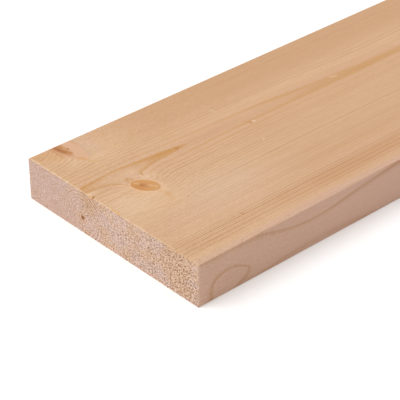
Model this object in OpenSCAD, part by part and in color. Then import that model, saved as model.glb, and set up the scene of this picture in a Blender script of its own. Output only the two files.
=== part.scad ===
// Planed softwood plank, one piece of solid timber.
// It lies flat on its wide face. The origin is at the centre of the underside,
// +X runs along the grain, +Y across the width and +Z up through the thickness.

/* [Stock] */
// Length between the two sawn ends
plank_length = 1800; // [300:100:6000]
// Finished width, edge to edge, after planing
plank_width = 144; // [60:1:300]
// Finished thickness, face to face, after planing
plank_thickness = 27; // [12:0.5:75]

/* [Edges] */
// Radius that the planer leaves on the long arrises
arris_radius = 0.8; // [0.2:0.1:3]

/* [Hidden] */

// Sides of a full circle at an arris
arris_sides = 32;

// Distance from the plank's middle to the centre of an arris, across the width
arris_y = plank_width / 2 - arris_radius;
// Heights of the lower and upper arris centres above the underside
arris_z = [arris_radius, plank_thickness - arris_radius];

// Cross-section as it leaves the planer: two flat faces, two flat edges and four
// quarter-round arrises. Width runs along x, and the underside lies on y = 0.
module planed_section() {
    translate([-arris_y, 0])
        square([2 * arris_y, plank_thickness]);
    translate([-plank_width / 2, arris_z[0]])
        square([plank_width, arris_z[1] - arris_z[0]]);
    for (side = [-1, 1], height = arris_z)
        translate([side * arris_y, height])
            circle(r = arris_radius, $fn = arris_sides);
}

// The plank: its section run along the grain and cut square at both ends.
module plank() {
    color([0.87, 0.73, 0.59])
        translate([-plank_length / 2, 0, 0])
            rotate([90, 0, 90])
                linear_extrude(height = plank_length)
                    planed_section();
}

plank();
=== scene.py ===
# %% [markdown]
# # A planed softwood plank
#
# This lesson dresses one plank of spruce: a board sawn from the heart of a small log, planed on four
# sides and cut square at both ends. The packed model gives its exact size. What is left to make is the
# wood itself: its rings, its knots, the torn grain of a sawn end and the fuzz that a saw leaves.

# %% Load the packed model
import math
import random

import bmesh
import bpy
from mathutils import Matrix, Quaternion, Vector, noise


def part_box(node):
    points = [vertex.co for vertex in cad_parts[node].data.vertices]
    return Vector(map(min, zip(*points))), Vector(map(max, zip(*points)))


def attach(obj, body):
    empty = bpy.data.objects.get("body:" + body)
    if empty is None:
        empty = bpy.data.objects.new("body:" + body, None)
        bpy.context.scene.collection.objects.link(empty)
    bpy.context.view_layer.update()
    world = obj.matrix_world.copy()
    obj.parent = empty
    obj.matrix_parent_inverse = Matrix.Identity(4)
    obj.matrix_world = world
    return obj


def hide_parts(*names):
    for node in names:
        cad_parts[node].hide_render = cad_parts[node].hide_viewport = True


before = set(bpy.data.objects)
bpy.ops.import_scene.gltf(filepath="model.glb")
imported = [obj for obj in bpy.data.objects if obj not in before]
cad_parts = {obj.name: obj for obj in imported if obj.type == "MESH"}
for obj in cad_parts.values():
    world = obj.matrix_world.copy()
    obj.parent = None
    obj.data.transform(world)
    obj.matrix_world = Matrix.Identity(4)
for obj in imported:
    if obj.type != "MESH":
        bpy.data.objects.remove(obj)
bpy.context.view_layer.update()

plank_low, plank_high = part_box("plank")
LENGTH, WIDTH, THICKNESS = plank_high - plank_low
print("plank in millimetres:", [round(1000 * side, 1) for side in (LENGTH, WIDTH, THICKNESS)])

# %% [markdown]
# ## Where things are measured from
#
# A joiner measures a board in millimetres from one end and one edge. The scene is in metres about the
# board's middle, so `spot` turns the first into the second. X runs along the grain from the end that
# faces the camera, Y across the width from the near edge, and Z up from the underside.

# %% Millimetres on the board
MM = 0.001
END_X = plank_low.x
NEAR_Y = plank_low.y


def spot(along, across, up):
    """A place on the board in millimetres, as a point in the scene."""
    return Vector((END_X + along * MM, NEAR_Y + across * MM, up * MM))


TOP_UP = round(THICKNESS / MM, 3)
print("the near top corner of the end is at", tuple(round(c, 4) for c in spot(0, 0, TOP_UP)))

# %% [markdown]
# ## Camera
#
# The board's edges in the photograph fix the camera: three of them run along the board, and where they
# meet gives its direction. A long lens from a little under a metre away makes them nearly parallel.

# %% Camera
CAMERA_SPOT = spot(-469.5, -525.6, 523.9)
CAMERA_FORWARD = Vector((0.5601, 0.6250, -0.5437))
CAMERA_LENS = 150.9
CAMERA_SENSOR = 36.0
CAMERA_ROLL = math.radians(-0.447)


def add_object(name, data):
    """An object of the scene that shows a mesh, or works as a camera or a lamp."""
    made = bpy.data.objects.new(name, data)
    bpy.context.collection.objects.link(made)
    return made


camera_data = bpy.data.cameras.new("camera")
camera_data.lens = CAMERA_LENS
camera_data.sensor_width = CAMERA_SENSOR
camera_data.clip_start = 0.05
camera_data.clip_end = 50.0
camera = add_object("camera", camera_data)
camera.location = CAMERA_SPOT
camera.rotation_mode = "QUATERNION"
upright = CAMERA_FORWARD.to_track_quat("-Z", "Y")
camera.rotation_quaternion = upright @ Quaternion((0, 0, 1), CAMERA_ROLL)
bpy.context.scene.camera = camera
print("camera at", tuple(round(c, 3) for c in camera.location))

# %% [markdown]
# ## Writing a finish as arithmetic
#
# A procedural wood is a long sum, and a long sum is easier to read as a line of Python than as a web of
# nodes. `Signal` wraps a socket, so that adding, multiplying or dividing signals adds the Math nodes.
# The reflected forms let a number stand first, as in 1 - signal.

# %% Signals
class Signal:
    """A value that changes over the surface. Arithmetic on it adds Math nodes."""

    def __init__(self, finish, socket):
        self.finish = finish
        self.socket = socket

    def math(self, operation, *others):
        values = dict(enumerate((self, *others)))
        return self.finish.node("ShaderNodeMath", {"operation": operation}, values)

    def __add__(self, other):
        return self.math("ADD", other)

    def __sub__(self, other):
        return self.math("SUBTRACT", other)

    def __mul__(self, other):
        return self.math("MULTIPLY", other)

    def __truediv__(self, other):
        return self.math("DIVIDE", other)

    def __pow__(self, other):
        return self.math("POWER", other)

    def __rsub__(self, other):
        return self.finish.node("ShaderNodeMath", {"operation": "SUBTRACT"}, {0: other, 1: self})

    def __rtruediv__(self, other):
        return self.finish.node("ShaderNodeMath", {"operation": "DIVIDE"}, {0: other, 1: self})

    def __neg__(self):
        return self.math("MULTIPLY", -1.0)

    def __abs__(self):
        return self.math("ABSOLUTE")

    def at_least(self, other):
        return self.math("MAXIMUM", other)

    def at_most(self, other):
        return self.math("MINIMUM", other)

    __radd__ = __add__
    __rmul__ = __mul__


print("ways to reckon with a signal:", sum(callable(method) for method in vars(Signal).values()))

# %% [markdown]
# Every other node comes from one method, `node`, which takes the node's type, its settings and the
# values or links of its sockets. A material and the sky both own a tree of nodes, so both can use it.

# %% Node trees and finishes
def draw_curve(mapping, points):
    """Give a curve node straight runs between points that go from 0 to 1."""
    curve = mapping.curves[0]
    curve.points[0].location = points[0]
    curve.points[1].location = points[-1]
    for point in points[1:-1]:
        curve.points.new(*point)
    for point in curve.points:
        point.handle_type = "VECTOR"
    mapping.update()


class Nodes:
    """A node tree whose nodes are made by one method."""

    def __init__(self, tree):
        self.tree = tree

    def node(self, kind, settings, values, output=0):
        made = self.tree.nodes.new(kind)
        for name, setting in settings.items():
            if name == "points":
                draw_curve(made.mapping, setting)
            else:
                setattr(made, name, setting)
        for name, value in values.items():
            self.feed(made.inputs[name], value)
        return Signal(self, made.outputs[output])

    def feed(self, socket, value):
        if isinstance(value, Signal):
            self.tree.links.new(value.socket, socket)
        else:
            socket.default_value = value


class Finish(Nodes):
    """A material with one Principled shader."""

    def __init__(self, name):
        self.material = bpy.data.materials.new(name)
        self.material.use_nodes = True
        super().__init__(self.material.node_tree)
        self.shader = self.tree.nodes["Principled BSDF"]

    def surface(self, **sockets):
        """Feed the shader's sockets, which are named with _ for each space."""
        for name, value in sockets.items():
            self.feed(self.shader.inputs[name.replace("_", " ")], value)


# %% [markdown]
# A few things turn up again and again: a smooth step, a soft peak, noise, a relief, and a mix of two
# colours or two vectors. Each is one function, named for what it does.

# %% Curves, noise and mixes
def step(signal, low, high):
    """0 below low and 1 above high, with a smooth rise between."""
    values = {"Value": signal, "From Min": low, "From Max": high}
    return signal.finish.node("ShaderNodeMapRange", {"interpolation_type": "SMOOTHSTEP"}, values)


def bump_at(signal, centre, half_width):
    """1 where the signal is centre, falling smoothly to 0 at half_width either side."""
    return 1 - step(abs(signal - centre), 0.0, half_width)


def mix(factor, first, second, kind="RGBA"):
    """The first where factor is 0 and the second where it is 1."""
    start = {"FLOAT": 2, "VECTOR": 4, "RGBA": 6}[kind]
    output = {"FLOAT": 0, "VECTOR": 1, "RGBA": 2}[kind]
    values = {0: factor, start: first, start + 1: second}
    return factor.finish.node("ShaderNodeMix", {"data_type": kind}, values, output)


def vector_math(operation, first, second, output=0):
    """One Vector Math node."""
    values = {0: first, 1: second}
    return first.finish.node("ShaderNodeVectorMath", {"operation": operation}, values, output)


def grain_noise(position, along, across, up, detail=2.0, rough=0.5):
    """Noise from about -0.5 to 0.5 whose blobs have the given size in millimetres."""
    shrunk = vector_math("MULTIPLY", position, (1 / along, 1 / across, 1 / up))
    values = {"Vector": shrunk, "Scale": 1.0, "Detail": detail, "Roughness": rough}
    return position.finish.node("ShaderNodeTexNoise", {}, values) - 0.5


def ring_noise(signal, size, detail=1.0):
    """Noise from about -0.5 to 0.5 along one number."""
    values = {"W": signal / size, "Scale": 1.0, "Detail": detail}
    return signal.finish.node("ShaderNodeTexNoise", {"noise_dimensions": "1D"}, values) - 0.5


def chance(signal):
    """A steady random number from 0 to 1 for each whole number."""
    settings = {"noise_dimensions": "1D"}
    return signal.finish.node("ShaderNodeTexWhiteNoise", settings, {"W": signal})


def raised(height):
    """A surface that seems to rise and fall by a height in metres."""
    values = {"Strength": 1.0, "Distance": 1.0, "Height": height}
    return height.finish.node("ShaderNodeBump", {}, values)


def colour(red, green, blue):
    """An on-screen colour from 0 to 255 as the linear colour that a shader takes."""
    linear = []
    for channel in (red, green, blue):
        value = channel / 255
        low = value / 12.92
        high = ((value + 0.055) / 1.055) ** 2.4
        linear.append(low if value <= 0.04045 else high)
    return (*linear, 1.0)


# %% [markdown]
# ## How the tree grew
#
# Growth rings are shells round the pith, so the colour of any point of a board depends on how far it is
# from the pith. That one distance draws every face at once: straight lines on the top where the shells
# stand steep, a long flame where one just grazes the surface, and arcs on the sawn end. An image could
# never agree with itself round the corners of a block, and a solid pattern always does.
#
# The pith isn't straight. Each bend below shifts it over a stretch of the board, in millimetres.

# %% The pith
PITH_ACROSS = 96.0
PITH_UP = 10.0
PITH_BENDS = (
    # from, to, shift across, shift up
    (30, 75, -1.0, 0.0),
    (42, 112, 0.0, -0.8),
    (105, 240, -4.6, 0.0),
    (100, 200, 0.0, -0.8),
    (190, 245, 0.0, -0.3),
    (240, 420, 4.0, 3.4),
    (400, 640, 5.0, -2.6),
    (620, 830, -7.0, 1.8),
    (850, 1130, -6.0, -3.0),
    (1100, 1350, 8.0, 3.0),
    (1330, 1560, 5.0, -2.2),
    (1540, 1790, -6.0, 2.6),
)
# A bend across the board moves the rings within about this many millimetres of the pith, and hardly
# moves those beyond.
PITH_SWAY_REACH = 20.0


def board_position(finish):
    """The point being shaded, in millimetres from the end, the near edge and the underside."""
    place = finish.node("ShaderNodeTexCoord", {}, {}, "Object")
    from_corner = vector_math("SUBTRACT", place, tuple(spot(0, 0, 0)))
    return vector_math("MULTIPLY", from_corner, (1 / MM, 1 / MM, 1 / MM))


def split(vector):
    """The three numbers of a vector."""
    finish = vector.finish
    return [finish.node("ShaderNodeSeparateXYZ", {}, {0: vector}, i) for i in range(3)]


def join(finish, x, y, z):
    """A vector from three numbers."""
    return finish.node("ShaderNodeCombineXYZ", {}, {0: x, 1: y, 2: z})


def pith_shift(along):
    """How far the pith has moved across and up, this far along the board."""
    across = up = along * 0.0
    for start, end, by_across, by_up in PITH_BENDS:
        bend = step(along, start, end)
        across = across + bend * by_across
        up = up + bend * by_up
    return across, up


# %% [markdown]
# ## Knots
#
# A knot is the root of a branch: a cone whose tip is on the pith, running out and a little up the tree.
# Spruce makes its branches in whorls, a year's growth apart, so each whorl below lists three cones with
# a common place on the pith. Only the nearest whorl matters to any point, so a few Mix nodes pick its
# numbers, and three cones do for the whole board.

# %% Whorls
# Each knot: where its tip is along the pith, its direction (along, across, up), its spread, how much it
# swells the rings, how far its heart leans from its middle (along, across, up), how pale its upper side
# is and how pointed its top is.
WHORLS = (
    # each whorl starts with where its stretch of the board ends
    (230, (
        (18.9, (0.40, -0.665, 0.66), 0.203, 0.36, (0.0, -0.03, 0.0), 0.0, 0.0),
        (26.7, (-0.10, 0.92, 0.38), 0.250, 0.085, (-0.086, -0.010, -0.018), 1.0, 0.5),
        (22.0, (0.25, -0.10, -0.96), 0.17, 0.40, (0.0, 0.0, 0.0), 0.2, 0.0),
    )),
    (620, (
        (428.0, (0.30, -0.62, 0.72), 0.17, 0.28, (-0.02, 0.02, 0.0), 0.1, 0.2),
        (436.0, (0.25, 0.94, 0.22), 0.14, 0.14, (-0.04, 0.0, 0.0), 0.6, 0.2),
        (440.0, (0.28, 0.30, -0.91), 0.19, 0.35, (0.0, 0.0, 0.0), 0.2, 0.2),
    )),
    (990, (
        (806.0, (0.24, 0.42, 0.87), 0.20, 0.35, (-0.03, 0.0, 0.0), 0.2, 0.2),
        (812.0, (0.30, -0.94, -0.06), 0.11, 0.10, (-0.02, 0.0, 0.0), 0.5, 0.2),
        (818.0, (0.22, 0.72, -0.66), 0.18, 0.28, (0.0, 0.0, 0.0), 0.2, 0.2),
    )),
    (1370, (
        (1186.0, (0.28, -0.80, 0.52), 0.15, 0.22, (-0.03, 0.0, 0.0), 0.3, 0.2),
        (1178.0, (0.26, 0.20, 0.94), 0.19, 0.38, (-0.02, 0.0, 0.0), 0.1, 0.2),
        (1190.0, (0.30, -0.50, -0.81), 0.19, 0.30, (0.0, 0.0, 0.0), 0.2, 0.2),
    )),
    (1900, (
        (1560.0, (0.26, 0.64, 0.72), 0.18, 0.28, (-0.03, 0.0, 0.0), 0.2, 0.2),
        (1566.0, (0.27, -0.96, 0.08), 0.10, 0.10, (-0.02, 0.0, 0.0), 0.5, 0.2),
        (1572.0, (0.25, 0.93, -0.30), 0.14, 0.14, (0.0, 0.0, 0.0), 0.4, 0.2),
    )),
)
THICKEST_KNOT = 8.0
# How far past a knot's rim the rings still swell, and how far out along the knot the swelling reaches
# its listed size and then its largest, all in millimetres.
SWELL_REACH = 3.5
SWELL_FULL = 27.0
SWELL_END = 46.0


def by_whorl(along, choices):
    """The vector of the whorl that owns this stretch of the board."""
    picked = choices[0]
    for (end, _), choice in zip(WHORLS[:-1], choices[1:], strict=True):
        picked = mix(along.math("GREATER_THAN", end), picked, choice, "VECTOR")
    return picked


class Cone:
    """One knot of each whorl, as distances in millimetres at the point being shaded."""

    def __init__(self, along, from_pith, number):
        knots = [knots_of_whorl[number] for _, knots_of_whorl in WHORLS]
        direction = by_whorl(along, [tuple(Vector(knot[1]).normalized()) for knot in knots])
        tip, spread, swell = split(by_whorl(along, [(knot[0], knot[2], knot[3]) for knot in knots]))
        lean = by_whorl(along, [knot[4] for knot in knots])
        self.pale, pointed, _ = split(by_whorl(along, [(knot[5], knot[6], 0.0) for knot in knots]))
        offset = vector_math("SUBTRACT", from_pith, join(along.finish, tip, 0.0, 0.0))
        self.out = vector_math("DOT_PRODUCT", offset, direction, "Value").at_least(0.0)
        axis = vector_math("MULTIPLY", direction, join(along.finish, self.out, self.out, self.out))
        sideways = vector_math("SUBTRACT", offset, axis)
        lengthwise, _, upwards = split(sideways)
        corner = abs(lengthwise) * upwards.at_least(0.0) * pointed * 2.0
        away = (vector_math("DOT_PRODUCT", sideways, sideways, "Value") + corner).math("SQRT")
        leaning = vector_math("MULTIPLY", lean, join(along.finish, self.out, self.out, self.out))
        to_heart = vector_math("SUBTRACT", sideways, leaning)
        narrow = self.pale * 0.5 + 1.0
        tall = 1.1 - self.pale * 0.35
        to_heart = vector_math("MULTIPLY", to_heart, join(along.finish, narrow, tall, tall))
        self.heart = vector_math("LENGTH", to_heart, (0, 0, 0), "Value")
        radius = (self.out * spread).at_most(THICKEST_KNOT).at_least(0.01)
        self.share = away / radius
        self.upper = lengthwise / radius
        fade = (away / (radius + SWELL_REACH)) ** 2.0
        growth = (self.out.at_most(SWELL_END) / SWELL_FULL) ** 2.5
        self.bulge = swell * growth * SWELL_FULL * (-fade).math("EXPONENT")


# %% [markdown]
# ## The wood as one field
#
# `Growth` gathers what every finish needs: the distance from the pith, bent round the knots and made
# uneven by noise, the ring that the point lies in, and the nearest knot.

# %% Rings and knots together
# Each dent: its middle (along, across, up), its reach the same three ways, and how far it pushes the
# rings in towards the pith, in millimetres. The top face is at 27 up.
DENTS = (
    ((84, 0, 27), (27.6, 6, 9), 2.3),
    ((127.7, 0, 27), (22.5, 6, 9), 0.4),
    ((92, 0, -11), (66, 9, 19), 2.4),
    ((24, 0, 8.9), (8.2, 10, 6.6), 2.45),
    ((33, 0, 8.3), (6.7, 10, 4), 1.05),
    ((12.6, 0, 7.6), (8.2, 10, 9.9), 1.46),
    ((25, 96, 27), (15, 9, 20), -0.5),
    ((25, 86.5, 27), (11, 7, 8), -1.1),
    ((26.8, 87.2, 27), (2.4, 2.0, 6), -0.6),
    ((42, 90, 27), (9, 5, 10), -0.28),
    ((38, 67, 27), (9, 9, 12), 6.3),
    ((330, 0, 20), (60, 10, 12), -1.6),
)
# How the tree grew: millimetres from the pith, and the rings counted to there.
GROWTH_CURVE = (
    (0, 0), (17.3, 8), (19.0, 9), (21.3, 10), (24.9, 12), (28.2, 14), (34.1, 17), (43.8, 21),
    (56.4, 28), (63.5, 32), (75.1, 37), (78.9, 39), (85.3, 43), (88.1, 45), (97.65, 49), (130, 63),
)
FARTHEST, RINGS = GROWTH_CURVE[-1]


class Growth:
    """The tree's growth at the point being shaded, as signals."""

    def __init__(self, finish):
        self.finish = finish
        self.position = board_position(finish)
        self.along, self.across, self.up = split(self.position)
        shift_across, shift_up = pith_shift(self.along)
        side = self.across - PITH_ACROSS
        nearness = 1 / ((side / PITH_SWAY_REACH) ** 2.0 + 1.0)
        side = side - shift_across * nearness
        height = self.up - PITH_UP - shift_up
        straight = join(finish, self.along, side, height)
        flat = join(finish, 0.0, side, height)
        self.from_pith = vector_math("LENGTH", flat, (0, 0, 0), "Value")
        self.turn = height.math("ARCTAN2", -side)
        self.add_knots([Cone(self.along, straight, number) for number in range(3)])

        wander = grain_noise(self.position, 170, 26, 26, 1.0) * 1.6
        ripple = grain_noise(self.position, 45, 7, 7, 1.0) * 0.35
        calm = (1 - step(self.across, 0.0, 30.0)) * (1 - step(self.along, 150.0, 260.0))
        uneven = (wander + ripple) * step(self.from_pith, 18.0, 60.0) * (1 - calm)
        for middle, reach, push in DENTS:
            uneven = uneven + self.dent(middle, reach) * push
        self.radius = self.from_pith - self.bulge + uneven
        points = [(reach / FARTHEST, count / RINGS) for reach, count in GROWTH_CURVE]
        share = {"Value": self.radius / FARTHEST}
        years = finish.node("ShaderNodeFloatCurve", {"points": points}, share) * RINGS
        years = years + ring_noise(self.radius, 3.0) * 0.3 * step(self.radius, 28.0, 34.0)
        self.year = years.math("FLOOR")
        self.season = years.math("FRACT")

    def dent(self, middle, reach):
        """1 at the middle of a soft dent, falling to nothing past its reach."""
        offset = vector_math("SUBTRACT", self.position, middle)
        share = vector_math("DIVIDE", offset, reach)
        return (-vector_math("DOT_PRODUCT", share, share, "Value")).math("EXPONENT")

    def add_knots(self, cones):
        """Add the swellings up, and keep the facts of whichever knot is nearest."""
        nearest = cones[0]
        self.bulge = nearest.bulge
        facts = {name: getattr(nearest, name) for name in ("share", "out", "heart", "upper", "pale")}
        for cone in cones[1:]:
            self.bulge = self.bulge + cone.bulge
            nearer = cone.share.math("LESS_THAN", facts["share"])
            for name in facts:
                facts[name] = mix(nearer, facts[name], getattr(cone, name), "FLOAT")
        self.share, self.out, self.heart, self.upper, self.pale = facts.values()
        self.knot = (1 - step(self.share, 0.92, 1.05)) * step(self.out, 2.0, 5.0)


# %% [markdown]
# ## Long grain
#
# Within a year the wood goes from pale, soft spring growth to a thin, dark, hard line of summer growth,
# and then starts pale again at once. So the ring colour is a slow rise and a sudden fall. Most rings
# take their strength from chance, and the few wet years that stand out on the real board are listed.

# %% Ring lines
# Each wet year: where its summer wood ends, how dark it is and how broad, in millimetres from the pith.
WET_YEARS = (
    (17.3, 1.0, 0.7), (19.0, 0.6, 0.8), (24.9, 0.5, 0.8), (26.55, 0.4, 0.8), (43.8, 0.4, 0.8),
    (56.4, 0.4, 0.8), (75.1, 0.7, 0.9), (77.0, 0.8, 0.9), (78.9, 1.0, 1.3), (82.1, 0.85, 1.0),
    (85.3, 1.0, 1.2), (88.1, 0.9, 1.0), (97.65, 0.62, 0.62),
)
# Over how many millimetres the summer wood ends and the next spring wood starts.
SUMMER_END = 0.14
# Which throw of the dice gives every other year its strength. With this one, strong lines and weak
# ones follow each other about as they do on the real board.
LUCK = 3347


def wet_years(radius):
    """The few years whose summer wood is broad and dark."""
    darkest = radius * 0.0
    for place, weight, breadth in WET_YEARS:
        rise = step(radius, place - breadth, place - 0.1)
        line = rise * (1 - step(radius, place, place + SUMMER_END)) * weight
        darkest = darkest.at_least(line)
    return darkest


def summer_wood(tree, worked):
    """How much of the dark summer wood shows here, from 0 to 1."""
    late = (step(tree.season, 0.42, 0.93) ** 1.8) * (1 - step(tree.season, 0.955, 1.0))
    inner = bump_at(tree.radius, 20.0, 13.0)
    bare = tree.dent((16, 62, 27), (22, 15, 10)) * 0.75 + tree.dent((39, 81, 27), (5, 7, 10)) * 0.6
    bare = bare.at_most(0.95).at_least(tree.dent((90, 0, 1), (50, 9, 6)) * 0.95)
    onward = step(tree.along, 110.0, 170.0) * bump_at(tree.radius, 24.0, 24.0)
    strength = (chance(tree.year + LUCK) ** 2.0) * 0.75 + inner * 0.08 + 0.1
    strength = strength + tree.dent((4, 122, 27), (14, 17, 10)) * 0.35
    strength = strength + tree.dent((66, 74, 27), (34, 22, 10)) * 0.22
    strength = strength * (1 - worked * 0.85) * (1 - bare) * (1 - onward * 0.6)
    patchy = step(grain_noise(tree.position, 120, 5, 5, 1.0), -0.3, 0.2) * 0.45 + 0.55
    late = late * strength * (1 - step(tree.radius, 86.0, 89.5) * 0.75)
    late = late.at_least(wet_years(tree.radius) * (1 - bare * 0.7)) * patchy
    return late.at_most(1.0)


# %% [markdown]
# The wood between the lines isn't one colour either. It is creamy near the flame, straw-coloured where
# the planer polished it, rosy in some years, tanned along the far side and orange in the band of close
# rings by the near edge. Wide soft noise mixes these, and a few patches go where the real board has them.

# %% The ground colour
CREAM_WOOD = colour(225, 185, 146)
ROSY_WOOD = colour(221, 177, 144)
STRAW_WOOD = colour(220, 179, 133)
TAN_WOOD = colour(209, 164, 124)
BAND_WOOD = colour(206, 157, 114)
# The outer rings: paler, pinker wood, with a painted cool tint of the shade on the near edge.
OUTER_WOOD_COOL_SHADE = colour(217, 178, 159)
CORNER_WOOD = colour(221, 171, 118)
PALE_WOOD = colour(243, 208, 174)
ASH_WOOD = colour(230, 200, 174)
DUSKY_WOOD = colour(206, 156, 122)
LILAC_WOOD = colour(224, 188, 164)
AMBER_WOOD = colour(230, 178, 126)
HALO_WOOD = colour(238, 192, 144)
FLAME_WOOD = colour(199, 150, 92)
# Each patch: its middle and its reach in millimetres (along, across, up), its colour and its strength.
PATCHES = (
    ((13, 66, 27), (19, 14, 12), PALE_WOOD, 0.55),
    ((58, 47, 27), (34, 15, 12), ASH_WOOD, 0.55),
    ((96, 94.5, 27), (30, 4.5, 10), DUSKY_WOOD, 0.45),
    ((170, 95, 27), (70, 6, 10), DUSKY_WOOD, 0.35),
    ((4, 143, 27), (9, 9, 10), CORNER_WOOD, 0.75),
    ((30, 119, 27), (14, 6, 10), PALE_WOOD, 0.3),
    ((17, 124, 27), (6, 6, 10), PALE_WOOD, 0.4),
    ((12, 136, 27), (4, 8, 10), AMBER_WOOD, 0.6),
    ((34, 134, 27), (5, 12, 10), LILAC_WOOD, 0.65),
    ((28, 68.5, 27), (8, 5, 10), PALE_WOOD, 0.6),
    ((24, 75, 27), (4, 6, 10), HALO_WOOD, 0.6),
    ((38.5, 83, 27), (5, 6, 10), PALE_WOOD, 0.5),
    ((21, 84, 27), (4, 5, 10), PALE_WOOD, 0.35),
    ((2, 90.5, 27), (3, 2.2, 10), PALE_WOOD, 0.6),
    ((10, 77, 27), (9, 7, 10), PALE_WOOD, 0.4),
    ((33, 92, 27), (8, 4, 10), PALE_WOOD, 0.3),
    ((30, 55, 27), (11, 7, 10), HALO_WOOD, 0.35),
    ((222, 91.2, 27), (62, 3.4, 10), FLAME_WOOD, 0.55),
)


def ground(tree, far, cloud):
    """The colour of the wood between its ring lines."""
    tint = grain_noise(tree.position, 240, 22, 22, 1.0)
    rosy = 1 - bump_at(tree.radius, 37.0, 24.0) * 0.8
    wood = mix(step(tint + cloud * 0.6, -0.25, 0.2) * rosy, CREAM_WOOD, ROSY_WOOD)
    wood = mix(step(cloud, -0.02, 0.25) * 0.7, wood, STRAW_WOOD)
    top = step(tree.up, 25.0, 26.5)
    onward = step(tree.along, 55.0, 130.0) * (1 - step(tree.across, 84.0, 98.0)) * top
    wood = mix((far * 0.9).at_least(onward * 0.4), wood, TAN_WOOD)
    band = bump_at(tree.radius, 82.5, 9.0) * (step(tree.along, 40.0, 140.0) * 0.5 + 0.35)
    band = band + bump_at(tree.radius, 64.5, 6.0) * step(tree.along, 50.0, 110.0) * 0.3
    wood = mix((band * (cloud * 0.8 + 0.95)).at_most(1.0), wood, BAND_WOOD)
    # The outer rings, which cover the near edge: their own paler wood plus a painted cool shade tint.
    wood = mix(step(tree.radius, 91.0, 96.5) * 0.85, wood, OUTER_WOOD_COOL_SHADE)
    for middle, reach, patch, strength in PATCHES:
        wood = mix(tree.dent(middle, reach) * strength, wood, patch)
    return wood


# %% [markdown]
# A knot cut across shows the branch's own rings: orange-brown wood round a dark heart, with a thin pale
# collar where the trunk's grain turns round it. A knot cut on the slant is paler, and only its heart
# and one side are brown.

# %% Knots
KNOT_LOWER = colour(207, 140, 76)
KNOT_UPPER = colour(214, 156, 96)
KNOT_PALE = colour(223, 178, 144)
KNOT_HEART = colour(146, 84, 40)
KNOT_BROWN = colour(182, 114, 58)
KNOT_RIM = colour(240, 198, 155)
KNOT_GREY = colour(210, 173, 147)


def with_knots(tree, wood, fibre, mottle):
    """Put the knots into the wood."""
    pale = tree.pale
    upper = step(tree.upper + pale * 0.45, -0.85, -0.1)
    knot_wood = mix(upper, KNOT_LOWER, mix(pale, KNOT_UPPER, KNOT_PALE))
    branch_rings = (tree.share * 4.0 + fibre * 0.5).math("FRACT")
    knot_wood = mix(step(branch_rings, 0.3, 1.0) * (1 - pale * 0.75) * 0.16, knot_wood, KNOT_BROWN)
    halo = 1 - step(tree.heart + mottle * 1.5, 0.8, 4.2)
    knot_wood = mix(halo * (0.45 + pale * 0.3), knot_wood, KNOT_BROWN)
    core = 1 - step(tree.heart + mottle * 2.0, 0.3, 1.5)
    knot_wood = mix(core * (0.8 - pale * 0.5), knot_wood, KNOT_HEART)
    bark = bump_at(tree.share, 0.97, 0.08) * (1 - upper * pale * 0.8)
    knot_wood = mix(bark * 0.2, knot_wood, KNOT_BROWN)
    collar = bump_at(tree.share + mottle * 0.15, 1.1, 0.28) * step(tree.out, 8.0, 14.0) * (1 - pale)
    wood = mix(collar * 0.45, wood, KNOT_RIM)
    beside = bump_at(tree.share + mottle * 0.1, 1.08, 0.14) * step(tree.upper, 0.1, 0.6) * pale
    wood = mix(beside * 0.75, wood, KNOT_GREY)
    return mix(tree.knot, wood, knot_wood)


# %% [markdown]
# Last come the small marks that make one board differ from the next: checks in a knot, a smear of
# resin, pin knots and specks. Each is a soft streak from one place to another, or a dot where the two
# places are close together.

# %% Marks
DARK = colour(122, 66, 30)
SEPIA = colour(150, 92, 48)
BROWN = colour(176, 111, 54)
TAWNY = colour(200, 145, 92)
RESIN = colour(217, 163, 98)
CREAM = colour(246, 216, 182)
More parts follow.
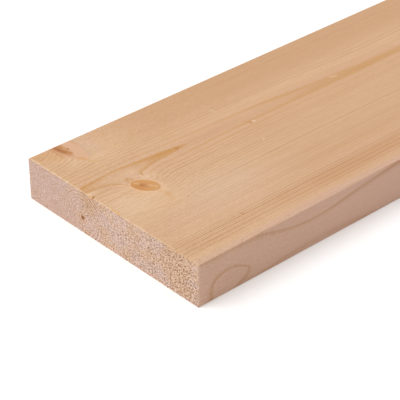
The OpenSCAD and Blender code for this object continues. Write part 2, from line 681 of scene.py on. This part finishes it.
# Each mark on the top face: from and to (along, across) and half its width, all in millimetres, then
# its colour and its strength.
MARKS = (
    ((20.8, 146), (20.6, 132), 3.0, TAWNY, 0.85),
    ((17.6, 147), (19.0, 135), 2.4, BROWN, 0.65),
    ((20.8, 147), (21.0, 141), 1.6, BROWN, 0.5),
    ((17.8, 142), (18.8, 138), 1.3, SEPIA, 0.35),
    ((19.6, 136), (21.2, 132), 1.5, BROWN, 0.5),
    ((22.8, 137.4), (22.8, 136.4), 1.0, BROWN, 0.9),
    ((15.0, 144), (15.2, 130.5), 1.5, TAWNY, 0.5),
    ((29.2, 143), (29.6, 138), 1.0, TAWNY, 0.35),
    ((21.2, 125), (22.8, 122.4), 1.9, RESIN, 0.7),
    ((22.8, 122), (24.4, 118.5), 1.4, RESIN, 0.4),
    ((24.5, 117.5), (27.5, 114.5), 1.1, RESIN, 0.4),
    ((24.8, 85.0), (25.4, 88.0), 1.0, TAWNY, 0.5),
    ((25.4, 88.0), (27.4, 89.4), 1.0, TAWNY, 0.65),
    ((27.4, 89.4), (28.8, 87.4), 1.0, TAWNY, 0.5),
    ((27.0, 86.6), (27.4, 85.6), 1.4, RESIN, 0.4),
    ((34.8, 86.6), (36.2, 82.5), 1.5, CREAM, 0.35),
    ((31.6, 76.4), (34.4, 72.0), 0.8, CREAM, 0.36),
    ((26.9, 82.8), (28.5, 80.8), 0.8, CREAM, 0.34),
    ((38.2, 78.0), (41.0, 79.0), 0.7, TAWNY, 0.5),
    ((33.0, 67.0), (34.4, 62.0), 2.4, RESIN, 0.34),
    ((33.8, 62.5), (32.0, 56.0), 1.8, RESIN, 0.3),
    ((25.0, 52.2), (35.0, 51.8), 0.7, TAWNY, 0.3),
    ((68.8, 95.3), (69.4, 94.7), 0.9, BROWN, 0.85),
    ((122.4, 87.8), (123.6, 87.8), 1.3, CREAM, 0.5),
    ((118.6, 90.2), (120.8, 87.4), 1.3, TAWNY, 0.7),
    ((120.4, 87.6), (120.8, 87.2), 0.8, BROWN, 0.7),
    ((195.0, 94.4), (197.4, 93.4), 1.9, CREAM, 0.28),
    ((112.8, 69.0), (113.2, 69.0), 1.2, CREAM, 0.5),
    ((112.6, 114.4), (113.4, 111.8), 1.2, CREAM, 0.28),
    ((40.0, 53.0), (40.6, 53.0), 0.7, BROWN, 0.7),
    ((50.0, 20.4), (50.6, 20.0), 0.8, BROWN, 0.6),
    ((4.0, 3.6), (4.4, 3.6), 0.8, BROWN, 0.6),
    ((67.0, 2.2), (67.4, 2.2), 0.8, BROWN, 0.5),
    ((0.0, 87.0), (1.2, 87.2), 1.2, DARK, 0.9),
    ((0.6, 72.0), (1.4, 66.0), 1.1, RESIN, 0.6),
)


def streak(tree, start, end, half_width):
    """1 along a straight mark, falling softly to 0 at half_width from it."""
    first = Vector((*start, TOP_UP))
    run = Vector((*end, TOP_UP)) - first
    offset = vector_math("SUBTRACT", tree.position, tuple(first))
    share = vector_math("DOT_PRODUCT", offset, tuple(run / run.length_squared), "Value")
    share = share.at_least(0.0).at_most(1.0)
    nearest = vector_math("MULTIPLY", join(tree.finish, share, share, share), tuple(run))
    away = vector_math("SUBTRACT", offset, nearest)
    length = vector_math("LENGTH", away, (0, 0, 0), "Value")
    return 1 - step(length, half_width * 0.25, half_width)


def with_marks(tree, wood, mottle):
    """Put the small marks on the wood, with ragged outlines."""
    ragged = (mottle * 2.2 + 1.0).at_least(0.0)
    for start, end, half_width, tint, strength in MARKS:
        mark = (streak(tree, start, end, half_width) * ragged).at_most(1.0)
        wood = mix(mark * strength, wood, tint)
    return wood


# %% [markdown]
# Now the planed finish is a short list of layers: ground, ring lines, fibres, knots, marks and the torn
# rim by the sawn ends. Summer wood is harder, so it stands up a little from the planer and shines more.
#
# A planer leaves its own marks too. Its knives turn as the board goes by, so each cut is a
# shallow hollow across the broad faces, one about every millimetre and a half. A sine wave draws them
# in the relief, with painted shade in each hollow and a painted highlight on each crest.
# Where the grain rises towards the knives they lift it in short slanting flecks.

# %% The planed faces
LATE_WOOD = colour(186, 138, 94)
GOLDEN_WOOD = colour(204, 147, 76)
ORANGE_WOOD = colour(183, 126, 80)
TORN_CREAM = colour(236, 202, 168)
TORN_GOLD = colour(229, 181, 114)
TORN_PINK = colour(232, 203, 184)
# How far the board moves between two cuts of the planer, in millimetres.
KNIFE_PITCH = 1.4


def torn_rim(tree, wood, fibre):
    """Pale torn fibres on the last millimetres before each sawn end."""
    from_end = tree.along.at_most(LENGTH / MM - tree.along)
    ragged = grain_noise(tree.position, 2.4, 1.6, 1.6, 2.0, 0.6)
    reach = grain_noise(tree.position, 60, 7, 7, 1.0) * 3.2
    torn = 1 - step(from_end + ragged * 2.6 + fibre * 0.7 - reach, 0.3, 1.5)
    burst = tree.dent((0, 66, 27), (20, 6, 6)) + tree.dent((0, 87.5, 27), (20, 3.5, 6))
    gold = step(grain_noise(tree.position, 6, 3, 3, 1.0) + burst * 0.25, 0.08, 0.2)
    top = step(tree.up, 25.9, 26.6)
    loose = mix(top, TORN_PINK, mix(gold, TORN_CREAM, TORN_GOLD))
    strength = top * (step(tree.across, 15.0, 60.0) * 0.5 + 0.35) + (1 - top) * 0.35
    return mix(torn * strength, wood, loose)


def knife_marks(tree):
    """Shallow ripples along the broad faces, one for each cut of a planer knife, from -1 to 1."""
    cuts = tree.along / KNIFE_PITCH + grain_noise(tree.position, 50, 24, 24, 1.0) * 1.5
    ripple = (cuts * (2 * math.pi)).math("SINE")
    patchy = step(grain_noise(tree.position, 18, 9, 9, 1.0), -0.3, 0.2) * 0.6 + 0.4
    close = (1 - step(tree.across, 48.0, 84.0)) * (1 - step(tree.along, 60.0, 110.0) * 0.5)
    broad = step(abs(tree.up - TOP_UP / 2), TOP_UP / 2 - 1.1, TOP_UP / 2 - 0.3)
    return ripple * patchy * (close * 0.85 + 0.15) * broad


def with_flecks(tree, wood, amount):
    """Slanting flecks, where the planer met grain that rises beside a knot."""
    climb = tree.across - tree.up
    onward = tree.along * 0.8 + climb * 0.6
    sideways = climb * 0.8 - tree.along * 0.6
    flecks = grain_noise(join(tree.finish, onward, sideways, tree.up), 4.5, 0.9, 4, 1.0)
    wood = mix(step(flecks, 0.0, 0.3) * amount * 0.24, wood, TORN_CREAM)
    return mix(step(-flecks, 0.0, 0.3) * amount * 0.22, wood, TORN_GOLD)


def long_grain():
    """The planed faces and edges."""
    finish = Finish("planed_spruce")
    tree = Growth(finish)
    far = step(tree.across, 104.0, 126.0) * step(tree.along, 32.0, 84.0)
    cloud = grain_noise(tree.position, 34, 7, 7, 3.0, 0.6)
    fibre = grain_noise(tree.position, 14, 0.7, 0.7, 3.0, 0.6)
    mottle = grain_noise(tree.position, 2.6, 1.1, 1.1, 2.0, 0.65)

    worked = step(tree.across, 109.0, 117.0) * step(tree.along, 22.0, 32.0)
    later = step(tree.across, 99.0, 106.0) * step(tree.along, 95.0, 150.0) * 0.6
    late = summer_wood(tree, worked.at_least(later))
    inner = bump_at(tree.radius, 18.0, 12.0)
    outer = step(tree.radius, 72.0, 75.0)
    line = mix(inner, mix(outer, LATE_WOOD, ORANGE_WOOD), GOLDEN_WOOD)
    wood = mix(late, ground(tree, far, cloud), line)
    coarse = 1 - step(tree.along, 30.0, 110.0)
    rough = step(fibre + mottle * 0.8, -0.32, 0.36) * (coarse * 0.16 + 0.25)
    wood = mix(rough, wood, LATE_WOOD)
    # A painted glint: pale specks in the colour, strongest near the shown end.
    painted_glint = grain_noise(tree.position, 1.3, 0.8, 0.8, 1.0)
    wood = mix(step(painted_glint, 0.0, 0.25) * (coarse * 0.3 + 0.08), wood, TORN_CREAM)
    slanting = worked.at_least((1 - step(tree.across, 0.2, 1.2)) * 0.6)
    wood = with_flecks(tree, wood, slanting * (1 - step(tree.along, 95.0, 150.0)))
    wood = with_knots(tree, wood, fibre, mottle)
    wood = with_marks(tree, wood, mottle)
    knives = knife_marks(tree)
    # Painted shade in the hollows of the knife ripples, and a painted highlight on their crests.
    wood = mix(knives.at_least(0.0) * 0.32, wood, LATE_WOOD)
    wood = mix((-knives).at_least(0.0) * 0.42, wood, TORN_CREAM)
    wood = torn_rim(tree, wood, fibre)

    relief = late * 0.02 * MM + fibre * 0.012 * MM + mottle * 0.01 * MM - knives * 0.006 * MM
    finish.surface(Base_Color=wood, Roughness=0.66 - late * 0.08, Normal=raised(relief))
    finish.surface(Specular_IOR_Level=0.3)
    return finish.material


planed = long_grain()
print("nodes in the planed finish:", len(planed.node_tree.nodes))

# %% [markdown]
# ## End grain
#
# A saw tears the ends of the fibres instead of slicing them, so the end is paler and rougher than the
# faces, and pitted where bundles of soft spring wood came away. The pits are sunk in the relief, and the
# dark of their specks is partly the wood and partly painted shade; the fuzz between them is pale fibre
# with a painted highlight where it stands up, and painted shade where it sinks. Voronoi cells make good
# specks: the distance to a cell's own point is a dot, and each cell has a random number that can leave
# its dot out.
# Laid out by distance from the pith and by turn round it, the dots stand in rows along the rings. Fine
# noise added to that distance makes their outlines ragged. Close to the pith the rings themselves show
# as arcs, and on the far side the saw left a smoother face with fine parallel scratches.

# %% The sawn ends
END_WOOD = colour(227, 195, 182)
END_FAR = colour(215, 183, 171)
END_WARM = colour(225, 187, 157)
END_LINE = colour(192, 152, 126)
# The dark of the end's pits and hollows: partly the wood in them, partly painted shade.
END_PIT_WOOD_AND_SHADE = colour(120, 76, 44)
END_GOLD_PIT = colour(156, 98, 38)
# Pale torn fibre, with a painted highlight where the fuzz stands up.
END_PALE_FIBRE_AND_HIGHLIGHT = colour(250, 232, 214)
END_ORANGE = colour(208, 152, 104)
PITH_COLOUR = colour(132, 78, 36)
# In millimetres: the gap between specks, and between growth rings near the pith.
SPECK_GAP = 1.2
RING_PITCH = 1.9
# How far the saw's scratches fall for each millimetre across.
SAW_SLANT = 0.44


def specks(tree, low, high):
    """Dots in rows along the rings, from 0 between them to 1 at their middles."""
    flat = join(tree.finish, tree.radius / SPECK_GAP, tree.turn * tree.from_pith / SPECK_GAP, 0.0)
    settings = {"voronoi_dimensions": "2D"}
    values = {"Vector": flat, "Scale": 1.0, "Randomness": 0.85}
    ragged = grain_noise(tree.position, 2.0, 0.7, 0.5, 2.0, 0.6)
    away = tree.finish.node("ShaderNodeTexVoronoi", settings, values) + ragged
    luck = tree.finish.node("ShaderNodeTexVoronoi", settings, values, "Color")
    present, _, _ = split(luck)
    return (1 - step(away, low, high)) * step(present, 0.1, 0.6)


def end_grain():
    """The sawn ends."""
    finish = Finish("sawn_spruce")
    tree = Growth(finish)
    late = step(tree.season, 0.35, 0.9) * (1 - step(tree.season, 0.94, 1.0))
    early = 1 - step(abs(tree.season - 0.45), 0.12, 0.42)
    cloud = grain_noise(tree.position, 40, 12, 9, 2.0)
    smooth = step(tree.across, 92.0, 118.0)
    crowd = tree.dent((0, 14, 18), (60, 13, 11))
    wood = mix(step(cloud + crowd * 0.3, -0.15, 0.2), END_WOOD, END_WARM)
    wood = mix(smooth * 0.8, wood, END_FAR)
    wood = mix(late * 0.3, wood, END_LINE)

    by_ring = 1 - step(tree.from_pith, 22.0, 48.0)
    soft = early * by_ring + (1 - by_ring) * (early * 0.35 + 0.65)
    worn = 1 - step(tree.across, 4.0, 46.0)
    corner = tree.dent((0, 0, 24), (60, 4, 7))
    amount = soft * (0.75 + worn * 0.25 + crowd * 0.3) * (1 - smooth * 0.7) * (1 - corner * 0.8)
    pits = (specks(tree, 0.18, 0.52) * amount).at_most(1.0)
    golden = grain_noise(tree.position, 30, 14, 9, 1.0) + crowd * 0.3 + step(tree.up, 6.0, 26.0) * 0.1
    # The pits sink in the relief below; their dark is partly the wood and partly painted shade.
    wood = mix(pits, wood, mix(step(golden, -0.02, 0.16), END_PIT_WOOD_AND_SHADE, END_GOLD_PIT))
    slanted = join(finish, tree.along, tree.across, tree.up + tree.across * SAW_SLANT)
    fuzz = grain_noise(slanted, 3.0, 1.35, 0.75, 2.0, 0.6)
    # The torn fuzz: pale fibre with a painted highlight where it stands up, painted shade where it sinks.
    wood = mix(step(fuzz, 0.0, 0.24) * (1 - smooth * 0.35) * 0.95, wood, END_PALE_FIBRE_AND_HIGHLIGHT)
    wood = mix(step(-fuzz, 0.0, 0.26) * (1 - smooth * 0.25) * 0.6, wood, END_PIT_WOOD_AND_SHADE)
    scratch = grain_noise(slanted, 30, 9, 0.9, 1.0)
    wood = mix(step(scratch, -0.1, 0.25) * smooth * 0.55, wood, END_LINE)

    arcs = abs(((tree.from_pith + fuzz * 0.5) / RING_PITCH).math("FRACT") - 0.5)
    inside = (1 - step(tree.from_pith, 12.0, 26.0)) * step(tree.from_pith, 2.0, 3.0)
    shown = inside * 0.2 + tree.dent((0, 89, 23), (60, 9, 7)) * 0.5
    wood = mix((1 - step(arcs, 0.05, 0.4)) * shown * step(fuzz, -0.2, 0.16), wood, END_GOLD_PIT)
    warm = tree.dent((0, 89, 24), (60, 8, 6)) * 0.15
    wood = mix(warm, wood, END_ORANGE)
    wood = mix((1 - step(tree.from_pith + fuzz * 3.0, 1.0, 4.6)) * 0.5, wood, END_ORANGE)
    wood = mix((1 - step(tree.from_pith + fuzz * 1.8, 0.5, 1.9)) * 0.9, wood, PITH_COLOUR)
    relief = fuzz * 0.08 * MM - pits * 0.12 * MM
    finish.surface(Base_Color=wood, Roughness=0.85, Normal=raised(relief), Specular_IOR_Level=0.2)
    return finish.material


sawn = end_grain()
print("nodes in the sawn finish:", len(sawn.node_tree.nodes))

# %% [markdown]
# ## The board's shape
#
# A planed board is a long box with its four long edges eased. A box with a bevel would do for the
# planed faces, but a saw leaves the ends rough, with fibres torn out along the rim. So the mesh starts
# from the end: a fine grid the size of the section. Extruding the grid once gives the whole board, with
# a finely divided face at both ends and a long strip behind each edge of the grid.

# %% A grid the size of the end
# The radius of the long edges, the gap between grid rows, and the rows from a corner to where its
# curve meets a flat face.
ARRIS = 0.6 * MM
GRID_STEP = 0.5 * MM
ARRIS_ROWS = 4


def row_count(size):
    """How many grid steps go across one side of the end."""
    return round((size - 2 * ARRIS) / GRID_STEP) + 2 * ARRIS_ROWS


def row_place(row, size):
    """Where a grid row lies: closer together in the arrises than between them."""
    count = row_count(size)
    if row < ARRIS_ROWS:
        angle = math.radians(45 * (ARRIS_ROWS - row) / ARRIS_ROWS)
        return ARRIS * (1 - math.tan(angle))
    if row > count - ARRIS_ROWS:
        return size - row_place(count - row, size)
    return ARRIS + (row - ARRIS_ROWS) * (size - 2 * ARRIS) / (count - 2 * ARRIS_ROWS)


rows_across = row_count(WIDTH)
rows_up = row_count(THICKNESS)
bm = bmesh.new()
bmesh.ops.create_grid(bm, x_segments=rows_across, y_segments=rows_up, size=0.5)
for vert in bm.verts:
    row = round((vert.co.x + 0.5) * rows_across)
    column = round((vert.co.y + 0.5) * rows_up)
    vert.co = (END_X, NEAR_Y + row_place(row, WIDTH), row_place(column, THICKNESS))
print("end grid:", rows_across, "by", rows_up, "squares")

# %% [markdown]
# The long strips are then cut across into rows: very close together at the two ends, where the rim gets
# its damage, and far apart along the rest, which is flat.

# %% The length in rows
# How far the close rows lie from each end, in millimetres, and the number of gaps between the last two.
END_ROWS = (0.0, 0.3, 0.8, 1.6, 3.0, 6.0, 14.0, 30.0)
MIDDLE_ROWS = 30
LONG_ROWS = MIDDLE_ROWS + 2 * (len(END_ROWS) - 1)


def long_row_place(row):
    """Where a row lies along the board, in metres from the shown end."""
    last = len(END_ROWS) - 1
    if row <= last:
        return END_ROWS[row] * MM
    if row >= LONG_ROWS - last:
        return LENGTH - END_ROWS[LONG_ROWS - row] * MM
    margin = END_ROWS[last] * MM
    return margin + (row - last) * (LENGTH - 2 * margin) / MIDDLE_ROWS


extruded = bmesh.ops.extrude_face_region(bm, geom=list(bm.faces))
far_verts = [part for part in extruded["geom"] if isinstance(part, bmesh.types.BMVert)]
bmesh.ops.translate(bm, vec=(LENGTH, 0, 0), verts=far_verts)
strips = [e for e in bm.edges if abs(e.verts[0].co.x - e.verts[1].co.x) > LENGTH / 2]
bmesh.ops.subdivide_edges(bm, edges=strips, cuts=LONG_ROWS - 1, use_grid_fill=True)
for vert in bm.verts:
    row = round((vert.co.x - END_X) / LENGTH * LONG_ROWS)
    vert.co.x = END_X + long_row_place(row)
bmesh.ops.recalc_face_normals(bm, faces=bm.faces)
print("board:", len(bm.faces), "faces in", LONG_ROWS, "rows")

# %% [markdown]
# ## Unrolling the board for painting
#
# The finish is solid, so it needs no map here. A games engine does: it wants the finish as a picture,
# and a picture wants a map. The four long faces unroll like a sheet of paper round the board, in one
# piece, and the two ends lie above it. The stretch by the shown end gets twice the room of the rest,
# because its knots have the finest marks.

# %% The map
# The map goes from 0 to 1 both ways. The long faces fill it up to this height, bar a gap at its edge.
SHEET_HEIGHT = 0.886
EDGE_GAP = 0.004
# The stretch by the shown end goes to this row, and takes this share of the map's width.
CLOSE_ROW = len(END_ROWS) - 1 + 4
CLOSE_LENGTH = long_row_place(CLOSE_ROW)
CLOSE_SHARE = 0.25
# Each end's patch: its left side, its lower side, its width and its height on the map.
SHOWN_LEFT = 0.006
HIDDEN_LEFT = 0.506
PATCH_BOTTOM = 0.906
PATCH_WIDTH = 0.469
PATCH_HEIGHT = 0.088


def around(across, up):
    """How far round the square section a point lies, from the far lower corner."""
    if up <= 0:
        return WIDTH - across
    if across <= 0:
        return WIDTH + up
    if up >= THICKNESS:
        return WIDTH + THICKNESS + across
    return 2 * WIDTH + 2 * THICKNESS - up


def sheet_place(corner, start):
    """Where a corner of a long face lies on the map. start is a point round the section."""
    along = corner.x - END_X
    girth = 2 * (WIDTH + THICKNESS)
    turn = around(round(corner.y - NEAR_Y, 7), round(corner.z, 7))
    if turn - start > girth / 2:
        turn -= girth
    if start - turn > girth / 2:
        turn += girth
    if along <= CLOSE_LENGTH:
        u = CLOSE_SHARE * along / CLOSE_LENGTH
    else:
        u = CLOSE_SHARE + (1 - CLOSE_SHARE) * (along - CLOSE_LENGTH) / (LENGTH - CLOSE_LENGTH)
    return EDGE_GAP + u * (1 - 2 * EDGE_GAP), EDGE_GAP + turn / girth * (SHEET_HEIGHT - EDGE_GAP)


def end_place(corner):
    """Where a corner of an end lies on the map."""
    shown = corner.x < 0
    across = (corner.y - NEAR_Y) / WIDTH
    if shown:
        across = 1 - across
    left = SHOWN_LEFT if shown else HIDDEN_LEFT
    return left + across * PATCH_WIDTH, PATCH_BOTTOM + corner.z / THICKNESS * PATCH_HEIGHT


sheet = bm.loops.layers.uv.new("OFBake")
for face in bm.faces:
    middle = face.calc_center_median()
    face.material_index = 1 if abs(face.normal.x) > 0.9 else 0
    if face.material_index == 0:
        start = around(*(round(c, 7) for c in (middle.y - NEAR_Y, middle.z)))
    for loop in face.loops:
        if face.material_index:
            loop[sheet].uv = end_place(loop.vert.co)
        else:
            loop[sheet].uv = sheet_place(loop.vert.co, start)
print("the long faces take", SHEET_HEIGHT, "of the map's height")

# %% [markdown]
# ## Wear
#
# Two things change the box. The planer's operator eases the long edges, so each corner of the section
# becomes a quarter circle: the square rows of the grid are squeezed into it. Then the saw: it pulls
# fibres out of the ends, more where the wood is soft, and breaks small bites out of the rim.

# %% Ease the edges and roughen the ends
# How far the bites reach in from the rim, how deep chance makes them, and how deep the ends are torn.
BITE_LENGTH = 1.6 * MM
BITE_DEPTH = 0.45 * MM
TEAR_DEPTH = 0.22 * MM
# The bites that stand out at the shown end: the middle (across, up), the reach and about how deep.
BITES = ((87.2, 27.0, 2.1, 0.9), (69.0, 27.0, 1.6, 0.4), (22.0, 27.0, 1.2, 0.4), (8.0, 27.0, 1.0, 0.4))
# The saw tears less and less beyond this many millimetres across, over this width and down to this share.
SMOOTH_FROM = 75
SMOOTH_OVER = 50
SMOOTH_SHARE = 0.35
# A bite fades out at this many times its reach.
BITE_FADE = 1.3
# A point nearer to the end than this, in metres, is on it, and the gap is only rounding.
ON_END = 1e-6


def inner_gap(place, margin):
    """The way out to a point of the section from the nearest point that lies a margin inside it."""
    across = min(max(place.y, NEAR_Y + margin), NEAR_Y + WIDTH - margin)
    up = min(max(place.z, margin), THICKNESS - margin)
    return Vector((0, place.y - across, place.z - up))


def ease(place):
    """Squeeze a point of the square section into the rounded one."""
    gap = inner_gap(place, ARRIS)
    if gap.length == 0:
        return place.copy()
    return place - gap + gap * max(abs(gap.y), abs(gap.z)) / gap.length


def bite(place):
    """How much of the rim the saw broke away here, in metres: most at the top, where it came in."""
    grain = noise.noise(place / (2.6 * MM)) + 0.5 * noise.noise(place / (0.9 * MM))
    depth = max(0.0, grain - 0.12) * BITE_DEPTH * (0.6 + place.z / THICKNESS)
    if place.x > 0:
        return depth
    for across, up, reach, deep in BITES:
        away = (place - spot(0, across, up)).length / (reach * MM)
        depth = max(depth, deep * MM * max(0.0, BITE_FADE - away))
    return depth


def tear(place):
    """How deep the saw tore the end here, in metres: in rows along the rings, and less at the far side."""
    across = (place.y - NEAR_Y) / MM
    radius = math.hypot(across - PITH_ACROSS, place.z / MM - PITH_UP)
    soft = 0.5 + 0.5 * math.cos(2 * math.pi * radius / RING_PITCH)
    grain = 0.5 + noise.noise(place / (0.9 * MM))
    side = min(1.0, max(SMOOTH_SHARE, 1.0 - (across - SMOOTH_FROM) / SMOOTH_OVER))
    return TEAR_DEPTH * side * max(0.0, grain) * (0.45 + 0.55 * soft)


def worn(place):
    """Bite the rim and tear the end. A point farther along the board stays where it is."""
    from_end = LENGTH / 2 - abs(place.x)
    if from_end >= BITE_LENGTH:
        return place
    inward = 1 if place.x < 0 else -1
    gap = inner_gap(place, BITE_LENGTH)
    rim = min(1.0, gap.length / BITE_LENGTH)
    depth = bite(place) * rim * (1 - from_end / BITE_LENGTH)
    place = place - gap.normalized() * depth
    place.x += inward * depth * 0.8
    if from_end < ON_END:
        place.x += inward * tear(place)
    return place


for vert in bm.verts:
    vert.co = worn(ease(vert.co))
print("deepest bite, in millimetres:", round(BITE_FADE * max(deep for *_, deep in BITES), 1))

# %% [markdown]
# The mesh then becomes an object that carries both finishes. It shades smooth round the long edges, and
# `set_sharp_from_angle` keeps the rim of the ends crisp.

# %% The board as an object
SHARP_ANGLE = math.radians(42)


def mesh_of(name, bm, *materials):
    """A finished bmesh as a mesh with its materials."""
    mesh = bpy.data.meshes.new(name)
    bm.to_mesh(mesh)
    bm.free()
    for material in materials:
        mesh.materials.append(material)
    return mesh


board_mesh = mesh_of("plank_wood", bm, planed, sawn)
board_mesh.polygons.foreach_set("use_smooth", [True] * len(board_mesh.polygons))
board_mesh.set_sharp_from_angle(angle=SHARP_ANGLE)
board = add_object("plank_wood", board_mesh)
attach(board, "root")
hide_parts("plank")
print("board mesh:", len(board_mesh.vertices), "vertices")

# %% [markdown]
# ## Torn fibres
#
# A fine saw still leaves a fringe: flakes of wood that bent over the rim instead of parting. Each is a
# four-sided cone pressed nearly flat, with its root just inside the board. They are one piece, because
# nobody will ever move one alone.

# %% The fringe
random.seed(27)
FLAKES_PER_SIDE = (("top", 150), ("underside", 80), ("near", 30), ("far", 24))
# In millimetres: how far flakes stay from a corner of the rim, how long, wide and thick they are, and
# how far their roots lie below the surface and behind the end.
CORNER_MARGIN = 1.2
FLAKE_LENGTHS = (0.4, 1.3)
FLAKE_WIDTHS = (0.12, 0.34)
FLAKE_THICKNESS = 0.05
ROOT_DEPTH = 0.28
ROOT_INSET = 0.20
# How far a flake leans sideways, and how far it lifts off the end, as shares of its way down.
LEANS = (-0.5, 0.5)
LIFTS = (0.10, 0.35)


def rim_place(side, share):
    """A point of the rim in millimetres, and the way out of the board's surface there."""
    width, thickness = WIDTH / MM, THICKNESS / MM
    across = CORNER_MARGIN + share * (width - 2 * CORNER_MARGIN)
    up = CORNER_MARGIN + share * (thickness - 2 * CORNER_MARGIN)
    places = {
        "top": ((across, thickness), (0, 1)),
        "underside": ((across, 0), (0, -1)),
        "near": ((0, up), (-1, 0)),
        "far": ((width, up), (1, 0)),
    }
    return places[side]


def flake_matrix(side, end):
    """Where one flake goes: its root in the rim, lying down over the end."""
    (across, up), outward = rim_place(side, random.random())
    length = random.uniform(*FLAKE_LENGTHS) * MM
    out = Vector((0, *outward))
    away = Vector((end, 0, 0))
    sideways = out.cross(away)
    lean = random.uniform(*LEANS)
    lift = random.uniform(*LIFTS)
    point = (away * lift - out + sideways * lean).normalized()
    root = spot(0, across, up) - out * ROOT_DEPTH * MM
    root.x = end * (LENGTH / 2 - ROOT_INSET * MM)
    turn = point.to_track_quat("Z", "X").to_matrix().to_4x4()
    width = random.uniform(*FLAKE_WIDTHS) * MM
    size = Matrix.Diagonal((FLAKE_THICKNESS * MM, width, length, 1.0))
    return Matrix.Translation(root + point * length / 2) @ turn @ size


fringe_bm = bmesh.new()
for end in (-1, 1):
    for side, count in FLAKES_PER_SIDE:
        for _ in range(count):
            bmesh.ops.create_cone(
                fringe_bm, cap_ends=True, cap_tris=False, segments=4, radius1=1.0, radius2=0.25, depth=1.0,
                matrix=flake_matrix(side, end),
            )
bmesh.ops.recalc_face_normals(fringe_bm, faces=fringe_bm.faces)

loose = Finish("torn_fibre")
straw = grain_noise(board_position(loose), 8, 3, 3, 1.0)
loose.surface(Base_Color=mix(step(straw, 0.0, 0.25), TORN_CREAM, TORN_GOLD), Roughness=0.8)
fringe = add_object("plank_fringe", mesh_of("plank_fringe", fringe_bm, loose.material))
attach(fringe, "root")
print("fringe:", len(fringe.data.polygons), "faces")

# %% [markdown]
# ## Floor
#
# The plank lies on a plain pale floor. The photograph's background is pure white, and the honest way to
# that is not more light, which would bleach the wood too. Instead the floor glows a little for the
# camera's rays alone, found with the Light Path node, so it turns white and keeps the plank's shadow.

# %% Floor
BLACK = (0.0, 0.0, 0.0, 1.0)
FLOOR_GREY = (0.88, 0.88, 0.88, 1.0)
FLOOR_GLOW = (0.24, 0.24, 0.24, 1.0)
FLOOR_HALF = 8.0

pale_floor = Finish("pale_floor")
to_camera = pale_floor.node("ShaderNodeLightPath", {}, {}, "Is Camera Ray")
glow = mix(to_camera, BLACK, FLOOR_GLOW)
pale_floor.surface(Base_Color=FLOOR_GREY, Roughness=1.0, Specular_IOR_Level=0.0)
pale_floor.surface(Emission_Color=glow, Emission_Strength=1.0)

floor_bm = bmesh.new()
bmesh.ops.create_grid(floor_bm, x_segments=1, y_segments=1, size=FLOOR_HALF)
floor = add_object("floor", mesh_of("floor", floor_bm, pale_floor.material))
print("floor:", 2 * FLOOR_HALF, "metres square")

# %% [markdown]
# ## Light
#
# Soft studio light comes from everywhere at once, so the sky itself is the main lamp. One broad sun,
# high on the camera's left, makes the top lightest, the end a little darker and the near edge darkest,
# as in the photograph. The sky looks pure white to the camera, and in reflections and through glass, but
# lights the plank at its own lower level.

# %% Sky and sun
WHITE = (1.0, 1.0, 1.0, 1.0)
SKY_LIGHT = 0.62
SUN_LIGHT = 1.4
SUN_SOFTNESS = math.radians(35)
SUN_TRAVEL = Vector((0.52, -0.27, -0.81))

world = bpy.data.worlds.new("studio")
world.use_nodes = True
bpy.context.scene.world = world
sky = Nodes(world.node_tree)
background = world.node_tree.nodes["Background"]
kinds = ("Is Camera Ray", "Is Glossy Ray", "Is Transmission Ray")
rays = [sky.node("ShaderNodeLightPath", {}, {}, kind) for kind in kinds]
looked_at = rays[0].at_least(rays[1]).at_least(rays[2])
sky.feed(background.inputs["Color"], WHITE)
sky.feed(background.inputs["Strength"], looked_at * (1 - SKY_LIGHT) + SKY_LIGHT)

sun_data = bpy.data.lights.new("key", "SUN")
sun_data.energy = SUN_LIGHT
sun_data.angle = SUN_SOFTNESS
sun = add_object("key", sun_data)
sun.rotation_mode = "QUATERNION"
sun.rotation_quaternion = SUN_TRAVEL.to_track_quat("-Z", "Y")

bpy.context.scene.view_settings.view_transform = "Standard"
print("sky at", SKY_LIGHT, "and sun at", SUN_LIGHT)

# %% [markdown] The dressed plank keeps the size that the packed model gives it.
